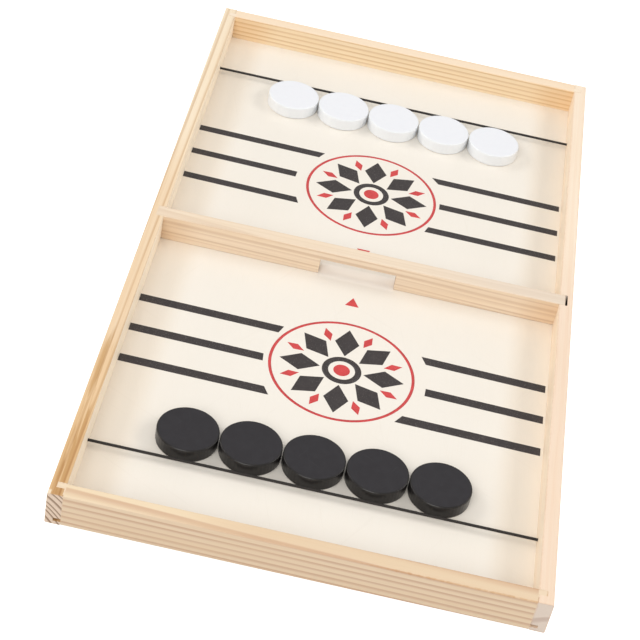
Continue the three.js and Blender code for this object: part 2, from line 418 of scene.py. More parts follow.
def pine(name, node_name, along_y, heart, run_out, growth, colours, ends, **extras):
    end_early, end_late = ends
    low, high = box_mm(node_name)
    middle, half, turn = (low + high) / 2, (high - low) / 2, 0
    if along_y:
        middle, half, turn = Vector((middle.y, -middle.x, middle.z)), half.yxz, -pi / 2
    material, tree, position, normal = new_material(name, middle, turn)
    place, facing = split(tree, position), split(tree, normal)
    figure = use_group(tree, rings, position, *heart, *run_out, *growth)
    colour = planed_wood(tree, position, place, facing["Z"], figure, colours, extras)
    sawn_end = ramp(tree, size_of(tree, facing["Y" if along_y else "X"]), *SAWN)
    end_rings = times(tree, calc(tree, "POWER", figure["Late Wood"], RING_POWER), RING_DEPTH)
    end_colour = mix_colour(tree, end_rings, end_early, end_late)
    pores = ramp(tree, noise(tree, position, PORE_SCALE, 3), *PORE_CUT, 0, PORE_DEPTH)
    colour = mix_colour(tree, sawn_end, colour, mix_colour(tree, pores, end_colour, end_late))
    if "tips" in extras:
        reach, tip_colour = extras["tips"]
        at_tip = ramp(tree, size_of(tree, place["X"]), reach, reach + TIP_FADE, 0, TIP_DEPTH)
        colour = mix_colour(tree, at_tip, colour, tip_colour)
    edge = use_group(tree, wear, position, -half, half, WEAR_WIDTH, WEAR_ROUGHNESS)["Mask"]
    if "dark_edges" in extras:
        start, end, tint = extras["dark_edges"]
        colour = tinted(tree, colour, tint, ramp(tree, place["X"], start, end), edge)
    worn = times(tree, edge, extras.get("wear", 0.14))
    colour = mix_colour(tree, worn, colour, shade(colours[1], WORN_TINT))
    planed_roughness = ramp(tree, figure["Fibre"], 0.3, 0.8, 0.52, 0.66)
    roughness = calc(tree, "ADD", planed_roughness, times(tree, sawn_end, 0.2))
    relief = calc(tree, "ADD", figure["Fibre"], times(tree, figure["Late Wood"], 0.6))
    finish_shader(tree, colour, roughness, 0.3, relief, 0.22, 0.00025)
    dress(node_name, material)
    print("Pine:", name, "heart", heart, "rings", growth[0], "mm")


print("Pine ready")

# %% [markdown]
# ## The five bars
# The left rail's rings cross its end on a steep slant, the right rail is almost plain, and the end rails
# and the divider carry tight level rings that show as straight streaks on their faces. Growth is the ring
# width, waviness, unevenness, start of the late wood and seed. Colours are the early wood, the late wood
# and how strongly the rings show on the sides and on top. All places are millimetres from the bar's middle.

# %% Dress the five bars
pine(
    "pine left rail", "side_rail_left", True,
    heart=(50.0, -50.0), run_out=(0.0105, 0), growth=(3.1, 1.2, 0.3, 0.5, 1.7),
    colours=((0.965, 0.86, 0.715), (0.72, 0.545, 0.375), (0.22, 0.85)),
    ends=((0.8, 0.635, 0.5), (0.28, 0.17, 0.105)),
    fibre=0.3,
    streak=(0.97, 0.94, 0.9),
    top=(0.915, 0.87, 0.795),
    shades=[(120, 10, (0.94, 0.87, 0.8)), (-125, -165, (0.97, 0.91, 0.81)), (-180, -225, (0.92, 0.86, 0.77))],
    stained=(-120, -150, (0.76, 0.65, 0.5)),
    bare_strip=(-276.5, 2.4),
    stub=(-274.9, 0.5, (0.9, 0.87, 0.83)),
)
pine(
    "pine right rail", "side_rail_right", True,
    heart=(-33, -71.6), run_out=(0.002, 0.002), growth=(19.7, 1, 0.1, 0.75, 4.2),
    colours=((0.93, 0.79, 0.625), (0.72, 0.5, 0.33), (0.16, 0.16)),
    ends=((0.76, 0.645, 0.55), (0.6, 0.47, 0.39)),
    streak=(0.985, 0.955, 0.93),
    wear=0.3,
    top=(0.97, 0.97, 0.985),
    shades=[(90, -20, (0.95, 0.9, 0.885))],
    # painted shade: the open dado slot at the divider's right end
    dado=((-5.2, -5.0), (6.0, 6.2), (-0.9, -0.82), (0.03, 0.02, 0.015)),
)
pine(
    "pine near rail", "end_rail_near", False,
    heart=(-26, -66.9), run_out=(0.006, 0.01), growth=(4.35, 1.2, 0.25, 0.36, 7.1),
    colours=((0.805, 0.64, 0.46), (0.63, 0.415, 0.28), (1.0, 1.0)),
    ends=((0.74, 0.57, 0.42), (0.4, 0.26, 0.15)),
    top=(1.03, 1.07, 1.06),
    shades=[(-90, -20, (0.92, 0.87, 0.85))],
    dark_edges=(25, 65, (0.84, 0.7, 0.56)),
    tips=(138.5, (0.82, 0.665, 0.485)),
)
pine(
    "pine far rail", "end_rail_far", False,
    heart=(-22, -84), run_out=(0.006, 0.004), growth=(3.9, 1.6, 0.35, 0.4, 3.6),
    colours=((0.895, 0.715, 0.49), (0.7, 0.48, 0.265), (1.0, 0.3)),
    ends=((0.76, 0.58, 0.4), (0.42, 0.27, 0.14)),
    top=(1.0, 1.02, 1.12),
    shaded_ends=(100, (0.95, 0.88, 0.8)),
    tips=(138.5, (0.89, 0.76, 0.61)),
)
pine(
    "pine divider", "divider", False,
    heart=(-8, -52), run_out=(0.01, 0.012), growth=(4.4, 3.0, 1, 0.3, 9.4),
    colours=((0.87, 0.71, 0.54), (0.66, 0.47, 0.32), (0.85, 0.55)),
    ends=((0.74, 0.57, 0.42), (0.45, 0.3, 0.18)),
    streak=(0.95, 0.935, 0.92),
    top=(0.96, 0.98, 1.0),
    shades=[(20, 110, (0.99, 1.03, 1.1))],
    shaded_ends=(108, (0.93, 0.88, 0.82)),
    tips=(143.0, (0.8, 0.66, 0.5)),
)

# %% [markdown]
# ## Glue in the joints
# The bars are glued: a tongue on each end rail sits in a dado in the side rail, and so does the divider.
# Glue and sanding dust fill the fine gaps and the small grooves beside the eased edges, so the seams are
# faint lines and not dark slits. Each filling is a thin prism, given by its section and how far it runs,
# and it stays a hair back from the wood. One seam, at the near rail's right end, got too little glue.

# %% Define the seam fillings
GLUE, SHY, BELOW_TOP = 0.06, 0.01, 0.02
RAIL_TOP, SLAB_BOTTOM, GROOVE_DEPTH = 24.0, 12.0, 2.5
ARC_STEP, ARC_POINTS = 0.16, 9
seam_mesh = bmesh.new()


def fill(section, run_axis, start, end):
    """Add a prism whose section lies across run_axis, "x" or "y", with points (across, up) in millimetres."""
    loops = []
    for along in (start, end):
        corners = [(along, a, z) if run_axis == "x" else (a, along, z) for a, z in section]
        loops.append([seam_mesh.verts.new(Vector(corner) * MM) for corner in corners])
    count = len(section)
    for index in range(count):
        after = (index + 1) % count
        seam_mesh.faces.new((loops[0][index], loops[0][after], loops[1][after], loops[1][index]))
    for loop in loops:
        seam_mesh.faces.new(loop)


def eased_seam(wall, side, easing):
    """The section between a straight wall and a bar's eased edge; side is the way from wall to bar."""
    arc_radius, surface = easing + SHY, RAIL_TOP - BELOW_TOP
    centre_across, centre_up = wall + side * (GLUE + easing), RAIL_TOP - easing
    turns = [pi - index * ARC_STEP for index in range(ARC_POINTS)]
    arc = [(centre_across + side * arc_radius * cos(t), centre_up + arc_radius * sin(t)) for t in turns]
    arc = [(a, z) for a, z in arc if z < surface]
    face, bottom = wall + side * SHY, RAIL_TOP - GROOVE_DEPTH
    return [(face, surface), (face, bottom), (wall + side * (GLUE - SHY), bottom), *arc]


def slab(low_a, high_a, low_z=SLAB_BOTTOM, high_z=RAIL_TOP - BELOW_TOP):
    return [(low_a, low_z), (high_a, low_z), (high_a, high_z), (low_a, high_z)]


print("Seam fillings ready, glue lines of", GLUE, "mm")

# %% [markdown]
# ## Where the seams run
# All places are millimetres from the middle of the board. At a corner the filling runs down the tongue's
# inner side, past its end, along its outer side, and then between the end rail's shoulder and the side
# rail. The divider is filled on both sides and at its left end; its right end has slack and stays open.

# %% Fill the seams
RAIL_FACE, SHOULDER, END_RAIL_EASING, DIVIDER_EASING = 138.8, 138.74, 0.8, 0.6
DADO_FROM, DADO_TO, DADO_FLOOR = 270.34, 274.86, 144.3
TONGUE_TO, TONGUE_END, SHOULDER_FROM, SHOULDER_TO = 274.8, 144.15, 274.9, 280.1
STARVED_CORNER, STARVED_TO = (1, -1), 276.9
DIVIDER_FROM, DIVIDER_TO, DIVIDER_TIPS = -5.0, 6.0, {-1: 144.0, 1: 142.75}
for x in (-1, 1):
    for y in (-1, 1):
        inner_gap = eased_seam(y * DADO_FROM, y, END_RAIL_EASING)
        fill(inner_gap, "x", x * (RAIL_FACE + 0.5), x * (TONGUE_END - SHY))
        end_gap = slab(y * (DADO_FROM + BELOW_TOP), y * (DADO_TO - BELOW_TOP))
        fill(end_gap, "x", x * (TONGUE_END + SHY), x * (DADO_FLOOR - SHY))
        fill(slab(y * (TONGUE_TO + SHY), y * (DADO_TO - SHY)), "x", x * (RAIL_FACE + 0.9), x * TONGUE_END)
        stop = STARVED_TO if (x, y) == STARVED_CORNER else SHOULDER_TO
        fill(eased_seam(x * SHOULDER, x, END_RAIL_EASING), "y", y * SHOULDER_FROM, y * stop)
        fill(slab(x * (SHOULDER + SHY), x * (RAIL_FACE - SHY), 1.0, 23.1), "y", y * 275.0, y * 280.9)
    for wall, side in ((DIVIDER_FROM - GLUE, 1), (DIVIDER_TO + GLUE, -1)):
        fill(eased_seam(wall, side, DIVIDER_EASING), "x", x * (RAIL_FACE + 0.4), x * DIVIDER_TIPS[x])
fill(slab(DIVIDER_FROM + BELOW_TOP, DIVIDER_TO - BELOW_TOP), "x", SHY - DADO_FLOOR, -DIVIDER_TIPS[-1] - SHY)
glue_lines = add_built("glue_lines", seam_mesh)
filler, tree, position, normal = new_material("glue and dust")
dust = noise(tree, position, 1.4, 3)
colour = mix_colour(tree, ramp(tree, dust, 0.3, 0.7), (0.84, 0.68, 0.51), (0.72, 0.55, 0.38))
finish_shader(tree, colour, ramp(tree, dust, 0.3, 0.7, 0.5, 0.75), 0.5)
glue_lines.data.materials.append(filler)
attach(glue_lines, "board")
print("Glue lines:", len(glue_lines.data.polygons), "faces")

# %% [markdown]
# ## The floor sheet
# The floor is a thin board with a smooth cream print. Its face has a faint cloudiness, a very fine grain
# that telegraphs through the print, and light scuffs. Close to the side rails it is painted warmer and a
# little darker, a painted shade of the rails with their warm bounce, and under the divider's gate it is
# painted paler, painted light where the divider shades it. Its underside is bare board. One material holds
# both sides, chosen by which way the surface faces, because the sheet is a single solid.

# %% Make the floor sheet
CREAM, DEEP_CREAM = (0.855, 0.806, 0.73), (0.842, 0.782, 0.692)
GRAINY_CREAM, SCRATCHED_CREAM = (0.8, 0.73, 0.62), (0.72, 0.66, 0.58)
RAIL_SHADE_TINT, GATE_PAINTED_LIGHT = (1, 0.962, 0.915), (0.93, 0.88, 0.81)
BARE_BOARD, DARK_BOARD = (0.62, 0.45, 0.28), (0.5, 0.34, 0.2)
sheet_material, tree, position, normal = new_material("printed sheet")
marks = use_group(tree, scuffs, position, 0.35, 2.5)
board_grain = stretched_noise(tree, position, (2.2, 0.05, 1), 2)
place = split(tree, position)
from_middle, from_divider = size_of(tree, place["X"]), size_of(tree, place["Y"])
colour = mix_colour(tree, ramp(tree, noise(tree, position, 0.012, 3), 0.35, 0.7, 0, 0.35), CREAM, DEEP_CREAM)
colour = mix_colour(tree, ramp(tree, board_grain, 0.5, 0.8, 0, 0.18), colour, GRAINY_CREAM)
colour = mix_colour(tree, times(tree, marks["Scratches"], 0.1), colour, SCRATCHED_CREAM)
# Painted shade: a warm, slightly darker band along each side rail stands in for the rails' shade and their
# warm bounce on the floor.
colour = tinted(tree, colour, RAIL_SHADE_TINT, ramp(tree, from_middle, 106, 122))
# Painted light: the floor under the divider's gate is painted paler, lifting the divider's shade there.
painted_gate_light = times(tree, ramp(tree, from_middle, 25, 27, 1, 0), ramp(tree, from_divider, 6, 9, 1, 0))
colour = mix_colour(tree, painted_gate_light, colour, GATE_PAINTED_LIGHT)
under = ramp(tree, split(tree, normal)["Z"], 0.2, 0.6, 1, 0)
bare = mix_colour(tree, ramp(tree, board_grain, 0.3, 0.75), BARE_BOARD, DARK_BOARD)
roughness = calc(tree, "ADD", ramp(tree, marks["Bloom"], 0, 1, 0.36, 0.5), times(tree, under, 0.35))
finish_shader(tree, mix_colour(tree, under, colour, bare), roughness, 0.4, board_grain, 0.08, 0.0001)
dress("floor_panel", sheet_material)
FLOOR_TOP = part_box("floor_panel")[1].z / MM
print("Floor sheet dressed, its face at", round(FLOOR_TOP, 2), "mm")

# %% [markdown]
# ## Printing inks
# The lines are screen printed. Up close such ink is not solid: the mesh leaves pinholes where the cream
# shows, and the film is a touch glossier than the sheet. One recipe makes the charcoal and the red.

# %% Make the inks
def ink(name, colour, pinholes):
    material, tree, position, normal = new_material(name)
    thin = noise(tree, position, 0.16, 3)
    film = mix_colour(tree, ramp(tree, thin, 0.3, 0.75, 0, 0.5), colour, [c * 1.35 for c in colour])
    holes = ramp(tree, noise(tree, position, 1.7, 2), 0.62, 0.72, 0, pinholes)
    finish_shader(tree, mix_colour(tree, holes, film, CREAM), ramp(tree, thin, 0.3, 0.7, 0.4, 0.5), 0.3)
    return material


charcoal_ink = ink("charcoal ink", (0.044, 0.037, 0.037), 0.18)
red_ink = ink("red ink", (0.56, 0.058, 0.06), 0.15)
print("Inks:", charcoal_ink.name, "and", red_ink.name)

# %% [markdown]
# ## Printed areas with Geometry Nodes
# A stripe is a flat shape of ink with straight sides, so its corners are typed in as one face. This tree
# gives every face that it receives the thickness of the film: it lifts a copy of the faces, which brings
# the side walls, turns the old faces over to close the bottom, and welds the two.

# %% Build the inked area tree
FILM = 0.05
GEOMETRY = ("Geometry", "NodeSocketGeometry")
FILM_AND_INK = [("Film", FLOAT, 0.00006), ("Ink", "NodeSocketMaterial", None)]


def close_tree(tree, geometry, given, result):
    real = put(tree, "GeometryNodeRealizeInstances", {0: geometry})
    painted = put(tree, "GeometryNodeSetMaterial", {"Geometry": real.outputs[0], "Material": given["Ink"]})
    tree.links.new(painted.outputs[0], result[0])
    print("Tree:", tree.name, "with", len(tree.nodes), "nodes")


area_inputs = [(*GEOMETRY, None), *FILM_AND_INK]
inked_area, given, result = new_tree("inked area", "GeometryNodeTree", area_inputs, [GEOMETRY])
lifting = {"Mesh": given["Geometry"], "Offset Scale": given["Film"], "Individual": False}
lifted = put(inked_area, "GeometryNodeExtrudeMesh", lifting)
underside = put(inked_area, "GeometryNodeFlipFaces", {"Mesh": given["Geometry"]})
both = put(inked_area, "GeometryNodeJoinGeometry")
inked_area.links.new(lifted.outputs["Mesh"], both.inputs[0])
inked_area.links.new(underside.outputs[0], both.inputs[0])
welded = put(inked_area, "GeometryNodeMergeByDistance", {"Geometry": both.outputs[0], "Distance": 0.000005})
close_tree(inked_area, welded.outputs[0], given, result)

# %% [markdown]
# ## Printed lines with Geometry Nodes
# The rings are lines of ink of a given width, so one tree makes them all: it takes bare edges as its input,
# turns them into curves and sweeps a thin rectangle along them.

# %% Build the inked line tree
line_inputs = [(*GEOMETRY, None), ("Width", FLOAT, 0.006), *FILM_AND_INK]
inked_line, given, result = new_tree("inked line", "GeometryNodeTree", line_inputs, [GEOMETRY])
route = put(inked_line, "GeometryNodeMeshToCurve", {0: given["Geometry"]})
flat = put(inked_line, "GeometryNodeSetCurveNormal", {"Curve": route.outputs[0]}, mode="Z_UP")
rectangle = {"Width": given["Width"], "Height": given["Film"]}
section = put(inked_line, "GeometryNodeCurvePrimitiveQuadrilateral", rectangle)
sweep = {"Curve": flat.outputs[0], "Profile Curve": section.outputs[0], "Fill Caps": True}
swept = put(inked_line, "GeometryNodeCurveToMesh", sweep)
close_tree(inked_line, swept.outputs[0], given, result)

# %% [markdown]
# ## Printed marks with Geometry Nodes
# Lozenges, dots and triangles are short prisms with four, many or three sides. This tree sets a number of
# them in a wheel round each point of its input, pointing outwards, and a wheel of one mark with no radius
# is a single mark. Sizes are inputs, so the same tree prints every mark on the floor.

# %% Build the wheel of marks tree
mark_inputs = [
    (*GEOMETRY, None), ("Count", "NodeSocketInt", 8), ("Wheel Radius", FLOAT, 0.02), ("Length", FLOAT, 0.02),
    ("Breadth", FLOAT, 0.01), ("Sides", "NodeSocketInt", 4), ("Turn", FLOAT, 0), *FILM_AND_INK,
]
mark_wheel, given, result = new_tree("wheel of marks", "GeometryNodeTree", mark_inputs, [GEOMETRY])
prism = put(mark_wheel, "GeometryNodeMeshCylinder", {"Vertices": given["Sides"], "Radius": 0.5, "Depth": 1.0})
size = put(mark_wheel, "ShaderNodeCombineXYZ", {0: given["Length"], 1: given["Breadth"], 2: given["Film"]})
mark = put(mark_wheel, "GeometryNodeTransform", {"Geometry": prism.outputs[0], "Scale": size.outputs[0]})
spoke_index = put(mark_wheel, "GeometryNodeInputIndex").outputs[0]
step = calc(mark_wheel, "DIVIDE", 2 * pi, given["Count"])
angle = calc(mark_wheel, "ADD", times(mark_wheel, spoke_index, step), given["Turn"])
turned = (calc(mark_wheel, "COSINE", angle), calc(mark_wheel, "SINE", angle))
spoke_end = {key: times(mark_wheel, value, given["Wheel Radius"]) for key, value in enumerate(turned)}
spoke_place = put(mark_wheel, "ShaderNodeCombineXYZ", spoke_end)
spokes = put(mark_wheel, "GeometryNodePoints", {"Count": given["Count"], "Position": spoke_place.outputs[0]})
outwards = put(mark_wheel, "ShaderNodeCombineXYZ", {2: angle})
facing_out = put(mark_wheel, "FunctionNodeEulerToRotation", {0: outwards.outputs[0]})
on_spokes = {"Points": spokes.outputs[0], "Instance": mark.outputs[0], "Rotation": facing_out.outputs[0]}
wheel = put(mark_wheel, "GeometryNodeInstanceOnPoints", on_spokes)
on_points = {"Points": given["Geometry"], "Instance": wheel.outputs[0]}
wheels = put(mark_wheel, "GeometryNodeInstanceOnPoints", on_points)
close_tree(mark_wheel, wheels.outputs[0], given, result)

# %% [markdown]
# ## From a tree to a plain mesh
# The export knows nothing of live Geometry Nodes, so each print is evaluated once and kept as a plain mesh.
# The helper makes the base points and edges, sets the tree's inputs by their identifiers, and swaps the
# result in. The film lies 0.01 mm into the sheet, so that no gap shows under it.

# %% Define the printing helper
INK_HEIGHT = FLOOR_TOP + FILM / 2 - 0.01


def plain_mesh(name, points, links, tree, settings):
    base_mesh = bpy.data.meshes.new(name + ".base")
    edges = [link for link in links if len(link) == 2]
    faces = [link for link in links if len(link) > 2]
    base_mesh.from_pydata([Vector(point) * MM for point in points], edges, faces)
    base = add_object(name + ".base", base_mesh)
    modifier = base.modifiers.new("make", "NODES")
    modifier.node_group = tree
    for item in tree.interface.items_tree:
        if item.in_out == "INPUT" and item.name in settings:
            modifier[item.identifier] = settings[item.name]
    bpy.context.view_layer.update()
    evaluated = base.evaluated_get(bpy.context.evaluated_depsgraph_get())
    mesh = bpy.data.meshes.new_from_object(evaluated)
    bpy.data.objects.remove(base)
    mesh.name = name
    return add_object(name, mesh)


def printed(name, points, links, tree, ink_used, settings):
    piece = plain_mesh(name, points, links, tree, {"Film": FILM * MM, "Ink": ink_used, **settings})
    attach(piece, "board")
    print("Print:", name, len(piece.data.polygons), "faces")


print("Ink film", FILM, "mm thick, its middle at", INK_HEIGHT, "mm")

# %% [markdown]
# ## Stripes
# Three charcoal stripes, about 7 mm wide, lie to each side of each court's roundel. Their inner ends are
# cut on a slant, and the print sits a touch askew in the tray, so each stripe is given by its two ends:
# where its middle line starts at the rail, where it stops, and how far the slant carries its upper corner.

# %% Print the stripes
NEAR_STRIPE_WIDTH, FAR_STRIPE_WIDTH = 7.1, 6.6
STRIPES = [
    ((-138.7, -71.1), (-42.2, -72.5), 2.7), ((137.2, -74.0), (54.5, -72.2), -3.6),
    ((-138.7, -102.2), (-49.3, -103.4), -0.6), ((137.2, -104.7), (58.6, -103.0), 0.2),
    ((-138.7, -133.4), (-42.1, -134.4), -3.9), ((137.0, -135.4), (44.2, -133.7), 4.4),
    ((-138.7, 136.6), (-44.7, 135.1), 3.7), ((137.2, 133.0), (42.2, 134.2), -5.4),
    ((-138.7, 105.8), (-59.6, 104.4), 0.5), ((137.2, 102.2), (48.4, 103.1), -0.2),
    ((-138.7, 74.8), (-54.2, 73.2), -2.4), ((137.2, 71.2), (41.7, 72.1), 2.2),
]
stripe_points, stripe_faces = [], []
for (outer_x, outer_y), (inner_x, inner_y), slant in STRIPES:
    first, side = len(stripe_points), (NEAR_STRIPE_WIDTH if outer_y < 0 else FAR_STRIPE_WIDTH) / 2
    stripe_points += [
        (outer_x, outer_y - side, INK_HEIGHT),
        (inner_x - slant / 2, inner_y - side, INK_HEIGHT),
        (inner_x + slant / 2, inner_y + side, INK_HEIGHT),
        (outer_x, outer_y + side, INK_HEIGHT),
    ]
    corners = range(first, first + 4)
    stripe_faces.append(tuple(corners if outer_x < inner_x else reversed(corners)))
printed("print_stripes", stripe_points, stripe_faces, inked_area, charcoal_ink, {})

# %% [markdown]
# ## Roundels and gate marks
# Each court has a roundel in its middle: a red ring, a wheel of charcoal lozenges with small red ones in
# between, and a target at its centre. A small red triangle in front of the gate points at it.

# %% Print the roundels and the gate marks
COURTS = [(2.5, -99.6, INK_HEIGHT), (-2.5, 99.7, INK_HEIGHT)]
RING_RADIUS, RING_WIDTH, TARGET_RADIUS, TARGET_WIDTH = 47.5, 2.0, 11.0, 4.2
RING_STEPS = 96
GATE_MARKS = (("print_gate_mark_near", -29.6, pi / 2), ("print_gate_mark_far", 29.3, -pi / 2))


def ring(name, ring_radius, width, ink_used):
    points, edges = [], []
    for x, y, z in COURTS:
        first = len(points)
        for index in range(RING_STEPS):
            angle = 2 * pi * index / RING_STEPS
            points.append((x + ring_radius * cos(angle), y + ring_radius * sin(angle), z))
            edges.append((first + index, first + (index + 1) % RING_STEPS))
    printed(name, points, edges, inked_line, ink_used, {"Width": width * MM})


def marks_round(name, places, ink_used, wheel_radius, length, breadth, count=1, sides=4, turn=0.0):
    sizes = {"Wheel Radius": wheel_radius * MM, "Length": length * MM, "Breadth": breadth * MM}
    printed(name, places, [], mark_wheel, ink_used, {**sizes, "Count": count, "Sides": sides, "Turn": turn})


ring("print_rings", RING_RADIUS, RING_WIDTH, red_ink)
ring("print_inner_rings", TARGET_RADIUS, TARGET_WIDTH, charcoal_ink)
marks_round("print_lozenges", COURTS, charcoal_ink, 28.0, 27.0, 16.5, count=8)
marks_round("print_small_lozenges", COURTS, red_ink, 35.5, 13.0, 6.0, count=8, turn=pi / 8)
marks_round("print_dots", COURTS, red_ink, 0.0, 11.0, 11.0, sides=48)
for name, y, turn in GATE_MARKS:
    marks_round(name, [(0.4, y, INK_HEIGHT)], red_ink, 0.0, 12.0, 11.0, sides=3, turn=turn)

# %% [markdown]
# ## Braided elastic
# The cords are round elastic with a braided cover: two families of yarns wind round the core in opposite
# directions and pass over and under each other. Where the yarns dip, the colour is painted much darker: a
# painted shade in the gaps, with a painted sheen left on the yarn tops. The pattern has to follow the cord
# when it is drawn back, so it reads the cord's own UV map, which holds the way along the cord and the way
# round it.

# %% Build the braid group and the elastic
braid, given, result = new_tree(
    "braided cover",
    "ShaderNodeTree",
    [("Route", VECTOR, None), ("Yarns", FLOAT, 8), ("Lay", FLOAT, 0.0052)],
    [("Relief", FLOAT), ("Gap Shade", FLOAT)],
)
way = split(braid, given["Route"])
round_way = times(braid, way["Y"], given["Yarns"])
along_way = times(braid, calc(braid, "DIVIDE", way["X"], given["Lay"]), given["Yarns"])
windings = [calc(braid, operation, round_way, along_way) for operation in ("ADD", "SUBTRACT")]
yarns = [size_of(braid, calc(braid, "SINE", times(braid, winding, pi))) for winding in windings]
cells = calc(braid, "ADD", *(calc(braid, "FLOOR", winding) for winding in windings))
over = size_of(braid, calc(braid, "MODULO", cells, 2))
relief = calc(braid, "ADD", times(braid, yarns[0], over), times(braid, yarns[1], flip(braid, over)))
braid.links.new(relief, result["Relief"])
braid.links.new(ramp(braid, relief, 0.15, 0.6, 1, 0), result["Gap Shade"])

# Painted shade: the gaps between the yarns are painted much darker than the yarn tops, which carry a painted
# sheen.
YARN, GAP_SHADE, FUZZ = (0.034, 0.029, 0.027), (0.008, 0.007, 0.006), (0.06, 0.052, 0.048)
elastic, tree, position, normal = new_material("braided elastic")
cover = use_group(tree, braid, put(tree, "ShaderNodeUVMap", uv_map="route").outputs[0])
fuzz = ramp(tree, noise(tree, position, 3, 3), 0.5, 0.8, 0, 0.4)
colour = mix_colour(tree, fuzz, mix_colour(tree, cover["Gap Shade"], YARN, GAP_SHADE), FUZZ)
finish_shader(tree, colour, ramp(tree, cover["Relief"], 0, 1, 0.9, 0.62), 0.35, cover["Relief"], 0.6, 0.0002)
print("Group:", braid.name, "and material:", elastic.name)

# %% [markdown]
# ## Tubes along a route
# Cords and knots are tubes. The helper sets a hoop of points square to the route at each of its points,
# turning the hoop as little as it can from one to the next, joins them, closes the ends and writes the
# route UV map as it goes. A curve with a round bevel would be quicker, but its UVs don't measure metres.

# %% Define the tube helper
def tube(name, route_points, tube_radius, sides=16):
    points = [Vector(point) for point in route_points]
    mesh = bmesh.new()
    uv = mesh.loops.layers.uv.new("route")
    turns = [2 * pi * index / sides for index in range(sides)]
    hoops, travelled, across = [], [0.0], None
    for index, point in enumerate(points):
        before, after = points[max(index - 1, 0)], points[min(index + 1, len(points) - 1)]
        heading = (after - before).normalized()
        across = heading.orthogonal() if across is None else across - heading * across.dot(heading)
        across.normalize()
        upright = heading.cross(across)
        hoop = [point + tube_radius * (across * cos(turn) + upright * sin(turn)) for turn in turns]
        hoops.append([mesh.verts.new(corner * MM) for corner in hoop])
        if index:
            travelled.append(travelled[-1] + (point - points[index - 1]).length * MM)
    for row in range(len(points) - 1):
        for column in range(sides):
            ways = ((row, column), (row, column + 1), (row + 1, column + 1), (row + 1, column))
            face = mesh.faces.new([hoops[r][c % sides] for r, c in ways])
            face.smooth = True
            for loop, (r, c) in zip(face.loops, ways):
                loop[uv].uv = (travelled[r], c / sides)
    mesh.faces.new(reversed(hoops[0]))
    mesh.faces.new(hoops[-1])
    made = add_built(name, mesh)
    made.data.materials.append(elastic)
    return made


print("Tube helper ready")

# %% [markdown]
# ## The cords
# Drawn back with a puck, a cord makes a V: straight from each rail's hole to the puck. So each cord is two
# tubes that meet behind the middle puck, each laid straight from outside its rail's hole to that puck.

# %% Stretch the cords
PUCK_HALF_FLAT, IN_HOLE = 3.0, 2
for end, puck in (("near", "puck_black_3"), ("far", "puck_white_3")):
    low, high = box_mm("cord_" + end)
    y, z, cord_radius = (low.y + high.y) / 2, (low.z + high.z) / 2, (high.z - low.z) / 2
    puck_low, puck_high = box_mm(puck)
    meeting = (puck_low.x + puck_high.x) / 2
    inner_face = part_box("side_rail_right")[0].x / MM
    for side_name, side in (("left", -1), ("right", 1)):
        near_puck = meeting + side * PUCK_HALF_FLAT
        stops = [side * high.x, side * (inner_face + IN_HOLE), side * inner_face, near_puck, meeting]
        half_cord = tube(f"elastic_{end}_{side_name}", [(x, y, z) for x in stops], cord_radius)
        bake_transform(half_cord)
        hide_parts("cord_" + end)
    print("Cord", end, "at y", round(y, 1), "mm, its halves meet at x", round(meeting, 1), "mm")

# %% [markdown]
# ## The knots
# Each cord end is stopped by an overhand knot in a pocket on the outside of its rail. The elastic runs out
# through the middle, turns once round itself, tucks under and ends in a short cut stub. The route is a list
# of places: how far out of the pocket, and how far to two sides of the cord's line.

# %% Tie the knots
PULLED_RADIUS, WRAP_RADIUS, KNOT_SEAT = 0.9, 1.75, 0.3
WRAP_TURN, WRAP_STEPS, WRAP_FROM, WRAP_BACK = 2 * pi * 1.15, 18, 2.45, 1.15
STUB = ((1.9, 1.65, 0.5), (2.9, 1.4, 0.7), (3.7, 1.2, 0.75))
KNOT_PHASES = {"knot_near_left": 0.4, "knot_near_right": 2.2, "knot_far_left": 3.9, "knot_far_right": 5.3}


def knot_route(outward, seat_x, y, z, phase):
    steps = [(0.2, 0, 0), (1.2, 0, 0), (2.1, 0.15, 0)]
    for index in range(WRAP_STEPS + 1):
        share = index / WRAP_STEPS
        angle, reach = phase + WRAP_TURN * share, WRAP_RADIUS * min(1, 0.35 + 4 * share)
        steps.append((WRAP_FROM - WRAP_BACK * share, reach * cos(angle), reach * sin(angle)))
    for out, reach, further in STUB:
        angle = phase + WRAP_TURN + further
        steps.append((out, reach * cos(angle), reach * sin(angle)))
    return [(seat_x + outward * out, y + b, z + c) for out, b, c in steps]


for knot_name, phase in KNOT_PHASES.items():
    low, high = box_mm(knot_name)
    outward = 1 if high.x > 0 else -1
    seat_x = (low.x if outward > 0 else high.x) - outward * KNOT_SEAT
    path = knot_route(outward, seat_x, (low.y + high.y) / 2, (low.z + high.z) / 2, phase)
    tied = tube("tied_" + knot_name, path, PULLED_RADIUS, 12)
    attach(tied, "board")
    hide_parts(knot_name)
    print("Tied", knot_name, "with", len(tied.data.polygons), "faces")

# %% [markdown]
# ## Moulded pucks
# The CAD pucks already have the right shape, so they only get a finish. The flat faces are sanded matt and
# faintly clouded, the rim that the mould polished is smoother, and each puck has its own scuffs. The
# recipe measures how far a point is from the puck's axis, so that the rim and the centre mark are found. A
# finish lists the colours of body, rim and bloom, the roughness of faces and rim, the gloss and a seed step.

# %% Make the puck finishes
PUCK_FINISHES = (
    ("black", (0.0243, 0.022, 0.0252), (0.0185, 0.0168, 0.0162), (0.032, 0.03, 0.034), 0.52, 0.28, 0.32, 3.1),
    ("white", (0.825, 0.835, 0.87), (0.815, 0.835, 0.855), (0.805, 0.815, 0.855), 0.42, 0.3, 0.4, 4.3),
)
RIM_FROM, RIM_TO = 1.3, 0.5


